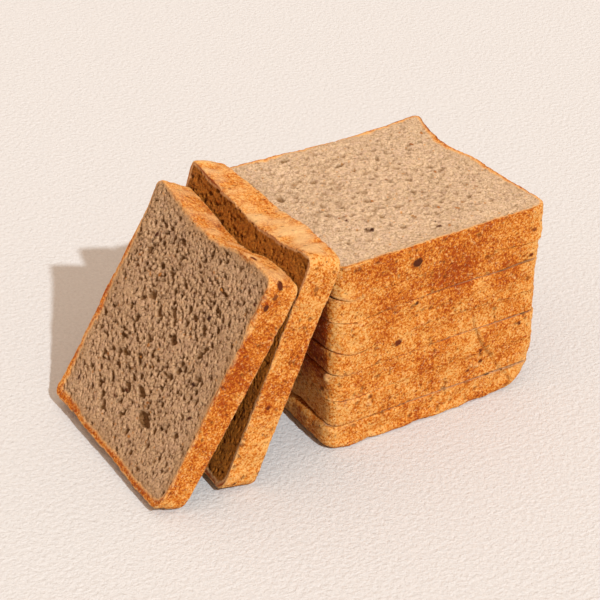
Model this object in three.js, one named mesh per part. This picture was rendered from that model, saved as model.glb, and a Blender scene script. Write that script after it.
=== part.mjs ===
// A sandwich loaf baked in a straight-sided tin and sliced across. Seven slices lie in a stack with
// the heel at the bottom, and two more stand on their edges and lean on it. Each slice is one solid.
// Lengths are in millimetres and +Z is up. The origin is the centre of the stack's bottom face.
// A slice lies flat in its own frame: x runs across the loaf from one tin wall to the other,
// y from the base crust to the top crust, and z through the slice's thickness.
import * as THREE from "three";

// Driving dimensions of the loaf
const loafWidth = 111;
const loafHeight = 102;
const baseCornerRadius = 5.5;
const earRadius = 3.5;
const topSag = 4.5;
const waistDepth = 5;
const waistHeight = 74;
const waistSpanBelow = 28;

// The loaf's end crust: where the tin's walls meet its end wall
const endRadius = 4;
const endCornerPull = 18;
const endCornerRise = 21;

// The stack, from the heel upwards: each slice's thickness, how far it has slid, and its turn in degrees
const sliceGap = 0.2;
const stackSlices = [
  { name: "heel_slice", thickness: 12.1, slideX: -0.9, slideY: -0.7, turn: -0.8, rings: 8 },
  { name: "stack_slice_2", thickness: 12.9, slideX: 0.2, slideY: 0.3, turn: 0.3, rings: 4 },
  { name: "stack_slice_3", thickness: 13.1, slideX: 0.4, slideY: -0.1, turn: -0.4 },
  { name: "stack_slice_4", thickness: 11.2, slideX: -0.2, slideY: 0.4, turn: 0.5 },
  { name: "stack_slice_5", thickness: 15.2, slideX: 0.3, slideY: -0.4, turn: -0.3 },
  { name: "stack_slice_6", thickness: 11.6, slideX: -0.5, slideY: 0.3, turn: 0.4 },
  { name: "top_slice", thickness: 16.4, slideX: 1.0, slideY: -0.6, turn: 0, showsCrumb: true },
];

// The leaning slices: how far each lower edge stands out from the stack's side and forward of its
// front, its thickness and its turn in degrees. The loaf's top isn't level, so each has a rise of its
// own above the loaf's height, and its own waist. The side it stands on is pressed nearly straight,
// and the ear of its upper side stops short of the loaf's full width.
const leanGap = 0.3;
const leaningSlices = [
  {
    name: "leaning_slice_inner",
    footOut: 42.7,
    footForward: 5,
    thickness: 15.6,
    turn: -1.9,
    rise: 1.5,
    waistDepth: 5.8,
    waistHeight: 58,
    footWaistDepth: 0.9,
    earInset: 3,
  },
  {
    name: "leaning_slice_outer",
    footOut: 77.2,
    footForward: 4.3,
    thickness: 15.8,
    turn: -2.3,
    rise: -1,
    waistDepth: 5.6,
    waistHeight: 50,
    footWaistDepth: 1.5,
    earInset: 1,
  },
];

// What most of a slice's outside shows: the baked crust, or the crumb of a cut face
const crust = { color: 0xc57a35, roughness: 0.8, metalness: 0 };
const crumb = { color: 0xc9ad8d, roughness: 0.9, metalness: 0 };

// Numbers of straight steps on the curved stretches
const wallSteps = 12;
const topSteps = 14;
const arcSteps = 5;

const halfWidth = loafWidth / 2;

function radians(degrees) {
  return THREE.MathUtils.degToRad(degrees);
}

// How far a side wall has shrunk inwards at a height above the base crust
function pinch(height, wall, form) {
  const spanAbove = form.height - earRadius - form.waistHeight;
  const away = height - form.waistHeight;
  if (away > 0) {
    const flare = Math.cos((Math.PI / 2) * Math.min(away / spanAbove, 1));
    return wall.earInset + (wall.waistDepth - wall.earInset) * flare;
  }
  return wall.waistDepth * Math.cos((Math.PI / 2) * Math.min(-away / waistSpanBelow, 1)) ** 2;
}

// Points of a quarter turn round a corner's centre
function cornerPoints(x, y, radius, from) {
  const points = [];
  for (let i = 0; i <= arcSteps; i++) {
    const angle = from + (Math.PI / 2) * (i / arcSteps);
    points.push(new THREE.Vector2(x + radius * Math.cos(angle), y + radius * Math.sin(angle)));
  }
  return points;
}

// Points of one side wall, from its base corner to its ear
function wallPoints(side, wall, form) {
  const low = baseCornerRadius;
  const high = form.height - earRadius;
  const points = [];
  for (let i = 1; i < wallSteps; i++) {
    const height = low + ((high - low) * i) / wallSteps;
    points.push(new THREE.Vector2(side * (halfWidth - pinch(height, wall, form)), height));
  }
  return side > 0 ? points : points.reverse();
}

// Points of the sagging top, from the right ear to the left one
function topPoints(form) {
  const right = halfWidth - form.right.earInset - earRadius;
  const left = halfWidth - form.left.earInset - earRadius;
  const points = [];
  for (let i = 1; i < topSteps; i++) {
    const share = 1 - (2 * i) / topSteps;
    const x = share > 0 ? right * share : left * share;
    points.push(new THREE.Vector2(x, form.height - topSag * (1 - share * share)));
  }
  return points;
}

// The outline of a slice: x from its middle, y from its base crust. A form gives the slice's height,
// the height of its waist, and for its left and right walls how deep the waist is and how far the
// ear stops short of the loaf's full width.
function sliceOutline(form) {
  const baseX = halfWidth - baseCornerRadius;
  const rightEarX = halfWidth - form.right.earInset - earRadius;
  const leftEarX = halfWidth - form.left.earInset - earRadius;
  const earY = form.height - earRadius;
  return new THREE.Shape([
    ...cornerPoints(baseX, baseCornerRadius, baseCornerRadius, -Math.PI / 2),
    ...wallPoints(1, form.right, form),
    ...cornerPoints(rightEarX, earY, earRadius, 0),
    ...topPoints(form),
    ...cornerPoints(-leftEarX, earY, earRadius, Math.PI / 2),
    ...wallPoints(-1, form.left, form),
    ...cornerPoints(-baseX, baseCornerRadius, baseCornerRadius, Math.PI),
  ]);
}

// How far a quarter ellipse, pull wide and rise high, has drawn in at a height above its foot
function drawnIn(height, pull, rise) {
  const up = Math.max(1 - height / rise, 0);
  return pull * (1 - Math.sqrt(1 - up * up));
}

// Rounds a lying slice towards the loaf's end face, with the big corner on the +X side.
// The rings are moved closer together towards the end face, where the rounding is tightest.
function roundEnd(geometry, bottom, thickness) {
  const position = geometry.getAttribute("position");
  for (let i = 0; i < position.count; i++) {
    const z = thickness * (position.getZ(i) / thickness) ** 2;
    const height = bottom + z;
    const round = drawnIn(height, endRadius, endRadius);
    const corner = drawnIn(height, endCornerPull, endCornerRise);
    const x = position.getX(i);
    const y = position.getY(i);
    const shrinkX = x > 0 ? corner : round;
    position.setXYZ(i, x * (1 - shrinkX / halfWidth), y * (1 - (2 * round) / loafHeight), z);
  }
  return geometry;
}

function sliceMesh(name, geometry, finish) {
  const mesh = new THREE.Mesh(geometry, new THREE.MeshStandardMaterial(finish));
  mesh.name = name;
  return mesh;
}

function extrudeSlice(form, thickness, rings) {
  return new THREE.ExtrudeGeometry(sliceOutline(form), {
    depth: thickness,
    steps: rings,
    bevelEnabled: false,
  });
}

// The stacked slices, each lying on the one below, with their middles near the Z axis
function buildStack() {
  const wall = { waistDepth, earInset: 0 };
  const form = { height: loafHeight, waistHeight, left: wall, right: wall };
  const group = new THREE.Group();
  let bottom = 0;
  for (const slice of stackSlices) {
    let geometry = extrudeSlice(form, slice.thickness, slice.rings ?? 1);
    geometry.translate(0, -loafHeight / 2, 0);
    if (slice.rings) {
      geometry = roundEnd(geometry, bottom, slice.thickness);
    }
    const mesh = sliceMesh(slice.name, geometry, slice.showsCrumb ? crumb : crust);
    mesh.position.set(slice.slideX, slice.slideY, bottom);
    mesh.rotation.z = radians(slice.turn);
    group.add(mesh);
    bottom += slice.thickness + sliceGap;
  }
  return group;
}

function worldPoints(mesh) {
  mesh.updateWorldMatrix(true, false);
  const position = mesh.geometry.getAttribute("position");
  const points = [];
  for (let i = 0; i < position.count; i++) {
    points.push(new THREE.Vector3().fromBufferAttribute(position, i).applyMatrix4(mesh.matrixWorld));
  }
  return points;
}

// The plane of a slice's face at a height through its thickness, facing away from the stack
function facePlane(mesh, height) {
  mesh.updateWorldMatrix(true, false);
  const normal = new THREE.Vector3(0, 0, 1).transformDirection(mesh.matrixWorld);
  const point = new THREE.Vector3(0, 0, height).applyMatrix4(mesh.matrixWorld);
  return new THREE.Plane().setFromNormalAndCoplanarPoint(normal, point);
}

// The clear distance between a leaning slice and what it leans on. It's the larger of two: all of
// the support behind the slice's underside, or all of the slice before the support's upper face.
function clearance(mesh, supportPoints, supportFace) {
  const underside = facePlane(mesh, 0);
  const behind = Math.min(...supportPoints.map((point) => -underside.distanceToPoint(point)));
  if (!supportFace) {
    return behind;
  }
  const before = Math.min(...worldPoints(mesh).map((point) => supportFace.distanceToPoint(point)));
  return Math.max(behind, before);
}

// Stands a slice on its lower edge and tips it towards the stack until it rests on its support
function leanUntilResting(mesh, slice, supportPoints, supportFace) {
  let upright = radians(90);
  let tipped = 0;
  for (let i = 0; i < 40; i++) {
    const lean = (upright + tipped) / 2;
    mesh.rotation.set(0, -lean, radians(slice.turn), "ZYX");
    if (clearance(mesh, supportPoints, supportFace) >= leanGap) {
      upright = lean;
    } else {
      tipped = lean;
    }
  }
  mesh.rotation.set(0, -upright, radians(slice.turn), "ZYX");
}

// The slices that stand on their lower edges, each leaning on the one before or on the stack
function buildLeaning(stack) {
  const group = new THREE.Group();
  let supportPoints = stack.children.flatMap(worldPoints);
  let supportFace = null;
  for (const slice of leaningSlices) {
    const form = {
      height: loafHeight + slice.rise,
      waistHeight: slice.waistHeight,
      left: { waistDepth: slice.footWaistDepth, earInset: 0 },
      right: { waistDepth: slice.waistDepth, earInset: slice.earInset },
    };
    const geometry = extrudeSlice(form, slice.thickness, 1);
    geometry.translate(halfWidth, 0, 0);
    const mesh = sliceMesh(slice.name, geometry, crumb);
    mesh.position.set(-halfWidth - slice.footOut, -loafHeight / 2 - slice.footForward, 0);
    leanUntilResting(mesh, slice, supportPoints, supportFace);
    group.add(mesh);
    supportPoints = worldPoints(mesh);
    supportFace = facePlane(mesh, slice.thickness);
  }
  return group;
}

const loaf = new THREE.Group();
const stack = buildStack();
loaf.add(stack, buildLeaning(stack));

export default loaf;
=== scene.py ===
"""A sliced tin loaf: seven slices in a stack and two more that stand on edge and lean on it.

Each slice's solid in the frame gives its place, outline and thickness. Its bread is rebuilt here on
that outline as one closed mesh, with pores, seeds, grain and soft edges as real shape. Lengths are in
millimetres until a mesh is made, and every slice has a frame of its own: x runs across the loaf,
y from the base crust to the top crust, and z through the thickness.
"""

import math

import bpy
import numpy as np
from mathutils import Matrix, Vector
from mathutils.geometry import delaunay_2d_cdt


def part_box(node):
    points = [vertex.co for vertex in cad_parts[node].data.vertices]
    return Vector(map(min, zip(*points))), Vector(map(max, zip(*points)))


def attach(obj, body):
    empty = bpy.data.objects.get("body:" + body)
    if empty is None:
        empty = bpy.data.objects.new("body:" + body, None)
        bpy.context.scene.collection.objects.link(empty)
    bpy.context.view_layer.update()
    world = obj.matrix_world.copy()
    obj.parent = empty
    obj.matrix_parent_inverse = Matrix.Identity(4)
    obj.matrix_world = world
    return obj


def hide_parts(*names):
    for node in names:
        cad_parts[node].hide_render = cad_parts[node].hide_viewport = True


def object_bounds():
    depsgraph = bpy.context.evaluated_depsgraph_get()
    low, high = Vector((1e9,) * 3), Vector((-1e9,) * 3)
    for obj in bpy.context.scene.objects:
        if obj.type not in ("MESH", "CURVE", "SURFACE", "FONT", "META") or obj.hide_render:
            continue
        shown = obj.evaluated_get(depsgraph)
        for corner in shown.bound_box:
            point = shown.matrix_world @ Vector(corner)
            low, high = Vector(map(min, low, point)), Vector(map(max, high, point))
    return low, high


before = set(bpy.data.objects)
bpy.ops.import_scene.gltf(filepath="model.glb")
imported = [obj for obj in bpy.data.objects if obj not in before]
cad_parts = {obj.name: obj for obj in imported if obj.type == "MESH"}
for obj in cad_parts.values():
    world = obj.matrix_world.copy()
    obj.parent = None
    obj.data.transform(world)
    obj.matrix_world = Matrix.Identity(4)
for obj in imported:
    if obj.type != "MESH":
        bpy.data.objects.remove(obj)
cad_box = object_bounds()

MM = 0.001
UP = np.array([0.0, 0.0, 1.0])

# ---- the slices

HEEL, TOP = "heel_slice", "top_slice"
INNER, OUTER = "leaning_slice_inner", "leaning_slice_outer"
STACK = [HEEL, *(f"stack_slice_{number}" for number in range(2, 7)), TOP]
LEANING = [INNER, OUTER]
LOAF_WIDTH, LOAF_HEIGHT = 111, 102

# The distance between vertices round the side of a slice that shows its crumb and of the others,
# and through the thickness
FINE_STEP = 0.45
SIDE_STEP = 0.75
ROW_STEP = 0.65

# How each slice's lower and upper faces are made: "cut" shows crumb, "end" is the loaf's end crust,
# and "hidden" lies on a neighbour. The spacing is None for a grid as fine as the side's.
FACES = {
    HEEL: (("end", 1.5), ("hidden", 2.2)),
    TOP: (("hidden", 2.2), ("cut", None)),
    INNER: (("cut", 1.1), ("cut", None)),
    OUTER: (("cut", 1.1), ("cut", None)),
}
STACKED_FACES = (("hidden", 2.2), ("hidden", 2.2))

# How open the seam above each of the lower six slices is, as the radius of its edges: at the front's
# left corner, in its middle and at its right corner, and on the left wall.
SEAMS = [
    (0.6, 0.25, 0.1, 1.8),
    (0.13, 0.1, 0.1, 0.25),
    (0.45, 0.12, 0.1, 2.0),
    (0.55, 0.12, 0.35, 1.0),
    (0.3, 0.15, 0.25, 0.8),
    (0.55, 0.3, 0.45, 0.6),
]
SEAM_ELSEWHERE = 0.35
CLOSED_BELOW = 0.2
SLICE_GAP = 0.2

# The radius of the edges that lie on no seam: a leaning slice's lower and upper edge, the top
# slice's upper edge and the heel's lower one; and how deep and how fine their nicks are
LEANING_RADII = (0.7, 0.55)
TOP_RADIUS = 0.5
HEEL_RADIUS = 0.05
NICK_DEPTH = 0.3
NICK_SIZE = 0.7
NICK_SEED = 7

# How each seam wanders along the front: its lift at the left corner, the dip beside it, the swell in
# the middle and the droop at the right, all upwards in millimetres.
WANDER = [
    (0.2, -0.3, 0.2, 0),
    (0.6, -0.8, 0.5, 0),
    (1.2, -0.6, 0.8, 0.3),
    (2.5, -2.6, 1.8, 0.4),
    (1.6, -1.4, 1.2, 1.0),
    (1.7, -1.6, 1.5, -1.6),
]


def smoothstep(low, high, value):
    """0 at low, 1 at high, and a smooth climb between them."""
    share = np.clip((value - low) / (high - low), 0, 1)
    return share * share * (3 - 2 * share)


def bump(value, middle, spread):
    """1 at the middle, falling away smoothly on both sides."""
    return np.exp(-(((value - middle) / spread) ** 2))


def grain(rng, shape, spread):
    """Smooth random hills over a grid, with a mean of 0 and a deviation of 1."""
    down = np.fft.fftfreq(shape[0])[:, None]
    along = np.fft.rfftfreq(shape[1])[None]
    keep = np.exp(-2 * (np.pi * spread) ** 2 * (down**2 + along**2))
    hills = np.fft.irfft2(np.fft.rfft2(rng.standard_normal(shape)) * keep, s=shape)
    return (hills - hills.mean()) / hills.std()


# ---- reading a slice from the frame

# How far from a level of the solid, and from its upper face, a vertex that belongs to it may lie
LEVEL_SLACK = 0.06
FACE_SLACK = 0.05


def mesh_values(items, name, width):
    """One value, or a row of them, of each of a mesh's items."""
    values = np.empty(len(items) * width)
    items.foreach_get(name, values)
    return values.reshape(-1, width) if width > 1 else values


def thickness_axis(mesh):
    """The direction of the mesh's largest flat face that looks up."""
    areas = mesh_values(mesh.polygons, "area", 1)
    normals = np.round(mesh_values(mesh.polygons, "normal", 3), 2)
    ways, which = np.unique(normals, axis=0, return_inverse=True)
    total = np.bincount(which.ravel(), areas) * (ways @ UP > 0)
    chosen = which.ravel() == total.argmax()
    axis = (mesh_values(mesh.polygons, "normal", 3)[chosen] * areas[chosen, None]).sum(0)
    return axis / np.linalg.norm(axis)


def sorted_loop(points):
    """A level's points in order round its middle, counter-clockwise, each once."""
    points = np.unique(np.round(points, 3), axis=0)
    middle = (points.min(0) + points.max(0)) / 2
    away = points - middle
    return points[np.argsort(np.arctan2(away[:, 1], away[:, 0]))]


class SliceFrame:
    """A slice's own frame and the smooth outlines of its solid, one at each level."""

    def __init__(self, node):
        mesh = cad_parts[node].data
        points = mesh_values(mesh.vertices, "co", 3) / MM
        self.z = thickness_axis(mesh)
        heights = points @ self.z
        low = heights.min()
        self.levels = np.unique(np.round(heights - low, 1))
        self.thickness = float(heights.max() - low)
        self.levels[-1] = self.thickness
        self.x = np.cross([0.0, 1.0, 0.0], self.z)
        self.x /= np.linalg.norm(self.x)
        self.y = np.cross(self.z, self.x)
        base_start, base_end = self.base_edge(points, heights - low)
        along = base_end - base_start
        turn = math.atan2(along[1], along[0])
        self.x, self.y = (
            self.x * math.cos(turn) + self.y * math.sin(turn),
            self.y * math.cos(turn) - self.x * math.sin(turn),
        )
        flat = points @ np.stack([self.x, self.y], 1)
        base_low = flat[:, 1].min()
        middle = (flat[:, 0].min() + flat[:, 0].max()) / 2
        self.origin = self.x * middle + self.y * base_low + self.z * low
        flat = flat - [middle, base_low]
        self.loops = []
        for level in self.levels:
            here = np.abs(heights - low - level) < LEVEL_SLACK
            self.loops.append(smooth_loop(sorted_loop(flat[here])))

    def base_edge(self, points, heights):
        """The ends of the longest straight edge of the upper face, which is the base crust's."""
        flat = points[heights > self.thickness - FACE_SLACK] @ np.stack([self.x, self.y], 1)
        loop = sorted_loop(flat)
        after = np.roll(loop, -1, axis=0)
        longest = np.linalg.norm(after - loop, axis=1).argmax()
        return loop[longest], after[longest]

    def to_world(self, points):
        return self.origin + points @ np.stack([self.x, self.y, self.z])


def lengths_along(line):
    """How far along an open line each of its points lies."""
    return np.concatenate([[0], np.cumsum(np.linalg.norm(np.diff(line, axis=0), axis=1))])


def points_at(line, length, places):
    return np.stack([np.interp(places, length, line[:, axis]) for axis in (0, 1)], 1)


def smooth_loop(points, step=0.5, spread=0.9):
    """A closed outline's points, a step apart, with its facets smoothed away."""
    closed = np.vstack([points, points[:1]])
    length = lengths_along(closed)
    count = int(length[-1] / step)
    dense = points_at(closed, length, np.linspace(0, length[-1], count, endpoint=False))
    keep = np.exp(-2 * (np.pi * np.fft.fftfreq(count, step) * spread) ** 2)
    return np.fft.ifft(np.fft.fft(dense, axis=0) * keep[:, None], axis=0).real


def even_points(line, count):
    """count + 1 points at equal distances along an open line."""
    length = lengths_along(line)
    return points_at(line, length, np.linspace(0, length[-1], count + 1))


def even_ring(loop, across, up):
    """The outline as a ring that starts at the base's left corner: base, right wall, top, left wall."""
    ways = [(-1, -1), (1, -1), (1, 1), (-1, 1)]
    starts = [int(np.argmax(loop @ np.array(way))) for way in ways]
    ring = []
    for start, end, count in zip(starts, starts[1:] + starts[:1], (across, up, across, up)):
        span = (end - start) % len(loop)
        side = loop[(start + np.arange(span + 1)) % len(loop)]
        ring.append(even_points(side, count)[:-1])
    return np.vstack(ring)


# ---- building a slice's mesh

# The texture plan of a slice in millimetres: a face's lowest corner, the room for a face, the gap
# between parts, the plan's side, and the scale of a face that is hidden
PLAN_LOW = (-60.0, -4.0)
PLAN_WIDTH, PLAN_HEIGHT = 120.0, 110.0
PLAN_GAP = 2.0
PLAN_SIZE = 246.0
HIDDEN_SCALE = 0.3

# The turns at which the rows of a rounded edge lie, in degrees
EDGE_TURNS = (0, 30, 60, 90)


class SliceMesh:
    """The closed mesh of one slice: rows of vertices round its side, and a face on each end."""

    def __init__(self, node, step, rng):
        self.node = node
        self.rng = rng
        self.step = step
        self.frame = SliceFrame(node)
        box = np.ptp(self.frame.loops[-1], axis=0)
        self.across = round(box[0] / step)
        self.up = round(box[1] / step)
        self.rings = np.stack([even_ring(loop, self.across, self.up) for loop in self.frame.loops])
        self.count = self.rings.shape[1]
        self.make_side()
        self.points = [self.side.reshape(-1, 3)]
        self.total = len(self.points[0])
        self.quads = [self.side_quads()]
        self.tris = []
        self.uvs = [self.side_uvs()]
        self.tri_uvs = []
        self.values = {name: [values.ravel()] for name, values in self.side_values.items()}

    def ring_at(self, z):
        """The outline's points at a height for each place round the ring, and their outward normals."""
        levels = self.frame.levels
        above = np.clip(np.searchsorted(levels, z, side="right"), 1, len(levels) - 1)
        share = np.clip((z - levels[above - 1]) / (levels[above] - levels[above - 1]), 0, 1)
        place = np.arange(self.count)
        low, high = self.rings[above - 1, place], self.rings[above, place]
        ring = low + (high - low) * share[:, None]
        along = np.roll(ring, -1, axis=0) - np.roll(ring, 1, axis=0)
        normal = np.stack([along[:, 1], -along[:, 0]], 1)
        return ring, normal / np.linalg.norm(normal, axis=1, keepdims=True)

    def make_side(self):
        """The side's rows from the lower face to the upper one, with rounded edges."""
        thickness = self.frame.thickness
        ring, self.normals = self.ring_at(np.full(self.count, thickness / 2))
        self.ring = ring
        self.radii = low, high = edge_radii(self)
        angles = np.radians(EDGE_TURNS)
        rows = []
        for angle in angles:
            rows.append((low * (1 - np.cos(angle)), low * (1 - np.sin(angle))))
        middle = round((thickness - 1) / ROW_STEP)
        for i in range(1, middle):
            share = i / middle
            rows.append((low + (thickness - low - high) * share, np.zeros(self.count)))
        for angle in angles[::-1]:
            rows.append((thickness - high * (1 - np.cos(angle)), high * (1 - np.sin(angle))))
        self.rows = len(rows)
        self.side = np.empty((self.rows, self.count, 3))
        self.outward = np.empty((self.rows, self.count, 3))
        for j, (z, inset) in enumerate(rows):
            ring, normal = self.ring_at(z)
            self.side[j, :, :2] = ring - normal * inset[:, None]
            self.side[j, :, 2] = z
            self.outward[j, :, :2] = normal
            self.outward[j, :, 2] = 0
        finish_side(self)

    def side_quads(self):
        index = np.arange(self.rows * self.count).reshape(self.rows, self.count)
        after = np.roll(index, -1, axis=1)
        return np.stack([index[:-1], after[:-1], after[1:], index[1:]], -1).reshape(-1, 4)

    def side_uvs(self):
        """The side's corners on the texture plan, in millimetres: four strips, two to a row."""
        bounds = [0, self.across, self.across + self.up, 2 * self.across + self.up, self.count]
        u = np.empty(self.count)
        v = np.empty(self.count)
        for wall, (start, end) in enumerate(zip(bounds, bounds[1:])):
            places = np.arange(end - start)
            u[start:end] = PLAN_GAP + (wall % 2) * (PLAN_WIDTH + PLAN_GAP) + places * self.step
            v[start:end] = PLAN_HEIGHT + 2 * PLAN_GAP + (wall // 2) * (self.frame.thickness + PLAN_GAP)
        rise = np.linspace(0, self.frame.thickness, self.rows)[:, None]
        low, high = v + rise[:-1], v + rise[1:]
        left = np.broadcast_to(u, low.shape)
        right = left + self.step
        corners = [(left, low), (right, low), (right, high), (left, high)]
        return np.stack([np.stack(corner, -1) for corner in corners], 2).reshape(-1, 2)

    def face_uvs(self, polygons, kind, upper):
        """A face's corners on the texture plan: beside the other face, and small if it is hidden."""
        flat = np.vstack(self.points)[polygons.ravel(), :2] - np.array(PLAN_LOW)
        origin = np.array([PLAN_GAP if upper else PLAN_WIDTH + 2 * PLAN_GAP, PLAN_GAP])
        return origin + flat * (HIDDEN_SCALE if kind == "hidden" else 1.0)

    def add_points(self, points, values):
        """Adds vertices with their values, and gives the number of the first."""
        start = self.total
        self.points.append(points)
        self.total += len(points)
        for name, parts in self.values.items():
            parts.append(values[name])
        return start

    def add_face(self, kind, spacing, upper):
        """Fills the lower or the upper end of the side."""
        row = self.rows - 1 if upper else 0
        edge = np.arange(self.count) + row * self.count
        rim = self.side[row]
        if spacing is None:
            self.add_grid_face(kind, edge, rim, upper)
        else:
            self.add_loose_face(kind, edge, rim, upper, spacing)

    def add_grid_face(self, kind, edge, rim, upper):
        """A face filled with a grid that is stretched between its four sides."""
        across, up = self.across, self.up
        flat = stretched_grid(rim, across, up)
        index = np.full((up + 1, across + 1), -1)
        index[0, :] = edge[: across + 1]
        index[:, across] = edge[across : across + up + 1]
        index[up, ::-1] = edge[across + up : 2 * across + up + 1]
        index[::-1, 0] = np.append(edge[2 * across + up :], edge[0])
        inner = flat[1:-1, 1:-1].reshape(-1, 3)
        points, values = finish_face(self, kind, inner, rim, upper)
        start = self.add_points(points, values)
        index[1:-1, 1:-1] = start + np.arange(len(inner)).reshape(up - 1, across - 1)
        quads = np.stack([index[:-1, :-1], index[:-1, 1:], index[1:, 1:], index[1:, :-1]], -1)
        quads = quads.reshape(-1, 4)
        self.quads.append(quads if upper else quads[:, ::-1])
        self.uvs.append(self.face_uvs(self.quads[-1], kind, upper))

    def add_loose_face(self, kind, edge, rim, upper, spacing):
        """A face filled with triangles between its rim and evenly scattered points."""
        inner = scattered_inside(rim[:, :2], spacing, self.rng)
        height = rim[:, 2].mean()
        inner = np.column_stack([inner, np.full(len(inner), height)])
        points, values = finish_face(self, kind, inner, rim, upper)
        start = self.add_points(points, values)
        known = np.concatenate([edge, start + np.arange(len(inner))])
        flat = [Vector(p) for p in np.vstack([rim[:, :2], inner[:, :2]])]
        border = [(i, (i + 1) % self.count) for i in range(self.count)]
        made = delaunay_2d_cdt(flat, border, [], 1, 1e-6)
        source = np.array([origin[0] for origin in made[3]])
        tris = known[source[np.array(made[2])]]
        self.tris.append(tris if upper else tris[:, ::-1])
        self.tri_uvs.append(self.face_uvs(self.tris[-1], kind, upper))

    def build(self, material):
        """Makes the Blender object, with the side's and faces' values as attributes."""
        points = self.frame.to_world(np.vstack(self.points))
        points = settled(self.node, points, self) * MM
        quads = np.vstack(self.quads)
        tris = np.vstack(self.tris) if self.tris else np.empty((0, 3), int)
        mesh = bpy.data.meshes.new(self.node + "_bread")
        mesh.vertices.add(len(points))
        mesh.vertices.foreach_set("co", points.ravel())
        corners = np.concatenate([quads.ravel(), tris.ravel()])
        sizes = np.concatenate([np.full(len(quads), 4), np.full(len(tris), 3)])
        mesh.loops.add(len(corners))
        mesh.loops.foreach_set("vertex_index", corners)
        mesh.polygons.add(len(sizes))
        mesh.polygons.foreach_set("loop_start", np.concatenate([[0], np.cumsum(sizes)[:-1]]))
        mesh.polygons.foreach_set("use_smooth", np.ones(len(sizes), bool))
        mesh.update(calc_edges=True)
        plan = np.vstack(self.uvs + self.tri_uvs) / PLAN_SIZE
        mesh.uv_layers.new(name="OFBake").uv.foreach_set("vector", plan.ravel())
        for name, parts in self.values.items():
            values = np.concatenate(parts)
            mesh.attributes.new(name, "FLOAT", "POINT").data.foreach_set("value", values)
        mesh.materials.append(material)
        piece = bpy.data.objects.new(self.node + "_bread", mesh)
        bpy.context.scene.collection.objects.link(piece)
        return piece


def stretched_grid(rim, across, up):
    """A grid whose four sides are the rim's and whose inside is blended from them."""
    base = rim[: across + 1]
    right = rim[across : across + up + 1]
    top = rim[across + up : 2 * across + up + 1][::-1]
    left = np.vstack([rim[2 * across + up :], rim[:1]])[::-1]
    u = np.linspace(0, 1, across + 1)[None, :, None]
    v = np.linspace(0, 1, up + 1)[:, None, None]
    between_sides = (1 - u) * left[:, None] + u * right[:, None]
    between_ends = (1 - v) * base + v * top
    corners = (1 - u) * (1 - v) * base[0] + u * (1 - v) * base[-1]
    corners = corners + (1 - u) * v * top[0] + u * v * top[-1]
    return between_sides + between_ends - corners


def inside(points, ring):
    """Whether each point lies inside a ring, by counting crossings."""
    corners = ring[::3]
    crossings = np.zeros(len(points), int)
    for (x0, y0), (x1, y1) in zip(corners, np.roll(corners, -1, axis=0)):
        spans = (points[:, 1] < y0) != (points[:, 1] < y1)
        if y1 != y0:
            crossings += spans & (points[:, 0] < x0 + (points[:, 1] - y0) * (x1 - x0) / (y1 - y0))
    return crossings % 2 == 1


def rim_distance(points, rim):
    """How far each point is from the nearest of every second rim vertex."""
    nearest = np.full(len(points), np.inf)
    for chunk in np.array_split(rim[::2, :2], 40):
        away = points[:, None, :2] - chunk[None]
        nearest = np.minimum(nearest, (away**2).sum(2).min(1))
    return np.sqrt(nearest)


def scattered_inside(ring, spacing, rng):
    """Jittered rows of points inside a ring, kept a little away from it."""
    low, high = ring.min(0), ring.max(0)
    x, y = np.meshgrid(np.arange(low[0], high[0], spacing), np.arange(low[1], high[1], spacing * 0.87))
    x = x + spacing / 2 * (np.arange(len(x)) % 2)[:, None]
    points = np.stack([x.ravel(), y.ravel()], 1)
    points += rng.uniform(-0.12, 0.12, points.shape) * spacing
    points = points[inside(points, ring)]
    return points[rim_distance(points, ring) > spacing * 0.55]


# ---- the shape of the crust

# What each vertex of a slice tells its material. The value for pits is painted shade down in pits, pores,
# seams and the crease. The tone also holds painted shade and light on the stack's left wall and painted
# warm shade on a crumb face.
VALUES = ("crust", "pit_shade", "seed", "seed_tone", "tone", "lip", "dense", "fine")

# How floury the wall on top of each leaning slice is, and how much paler; then how much paler its base
# crust is, and how much redder away from the upper corner
FLOURY = {INNER: 0.75, OUTER: 0.45}
TOP_PALENESS = {INNER: 0.04, OUTER: 0.02}
BASE_PALENESS = {INNER: 0.11, OUTER: 0.04}
BASE_REDNESS = {INNER: 0.0, OUTER: 0.12}

# Pits and seeds scattered over the side: how many there are, and the range of their radii
PIT_COUNT = 120
PIT_SIZES = (0.5, 1.1)
LEANING_SEED_COUNT, STACKED_SEED_COUNT = 4, 5
SEED_SIZES = (0.7, 1.2)

# The crease down the front's right, from the third seam to the foot: distance from the stack's left
# side, and height
CREASE = [
    (75.5, 50.3), (76.4, 44.0), (77.6, 38.0), (79.5, 32.5), (82.5, 27.5), (86.5, 21.5), (91.0, 14.5),
    (97.0, 5.5),
]
CREASE_DEPTH = 0.7
CREASE_WIDTH = 0.6

# Crumbs that stick out of the side: x, y, z and size, and how far they all stand out
LUMPS = {
    "stack_slice_3": [(-54.5, 4.2, 10.6, 2.2)],
    "stack_slice_2": [(22.5, 0, 6.5, 1.2), (19.0, 0, 8.2, 0.9), (-37.0, 0, 8.0, 1.2)],
}
LUMP_RISE = 1.8

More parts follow.
